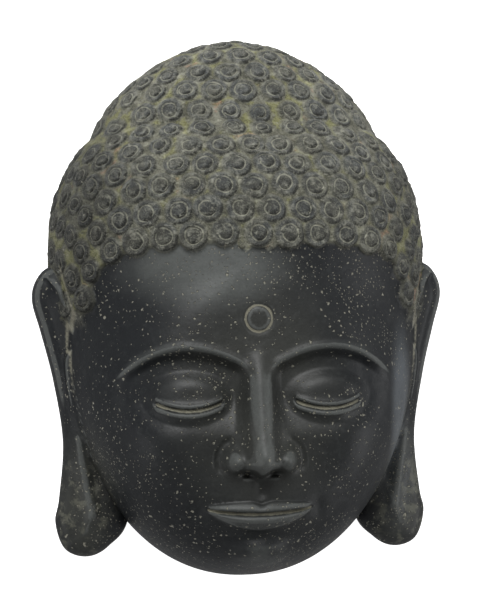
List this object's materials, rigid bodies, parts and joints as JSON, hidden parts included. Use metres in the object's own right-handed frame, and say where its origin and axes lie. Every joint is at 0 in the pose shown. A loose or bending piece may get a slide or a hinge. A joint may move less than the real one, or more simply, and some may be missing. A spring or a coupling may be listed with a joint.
{
  "type": "buddha mask",
  "caption": "Wall mask of a calm head with half-closed eyes, snail-shell curls over a topknot, long ears and an open hollow back.",
  "frame": {"origin": "centre of the mask's outline on the plane of its back rim, which it lies on", "axes": "+Z out of the face, +Y from the chin to the crown, +X to the right of someone who looks at the face"},
  "size_m": [0.308, 0.4015, 0.1399],
  "materials": {
    "cast_stone": "near-black cast stone, satin on the rubbed face, with pale dusty patina in the hair and small light pits"
  },
  "bodies": {
    "root": {"mask": "cast_stone"}
  },
  "joints": []
}
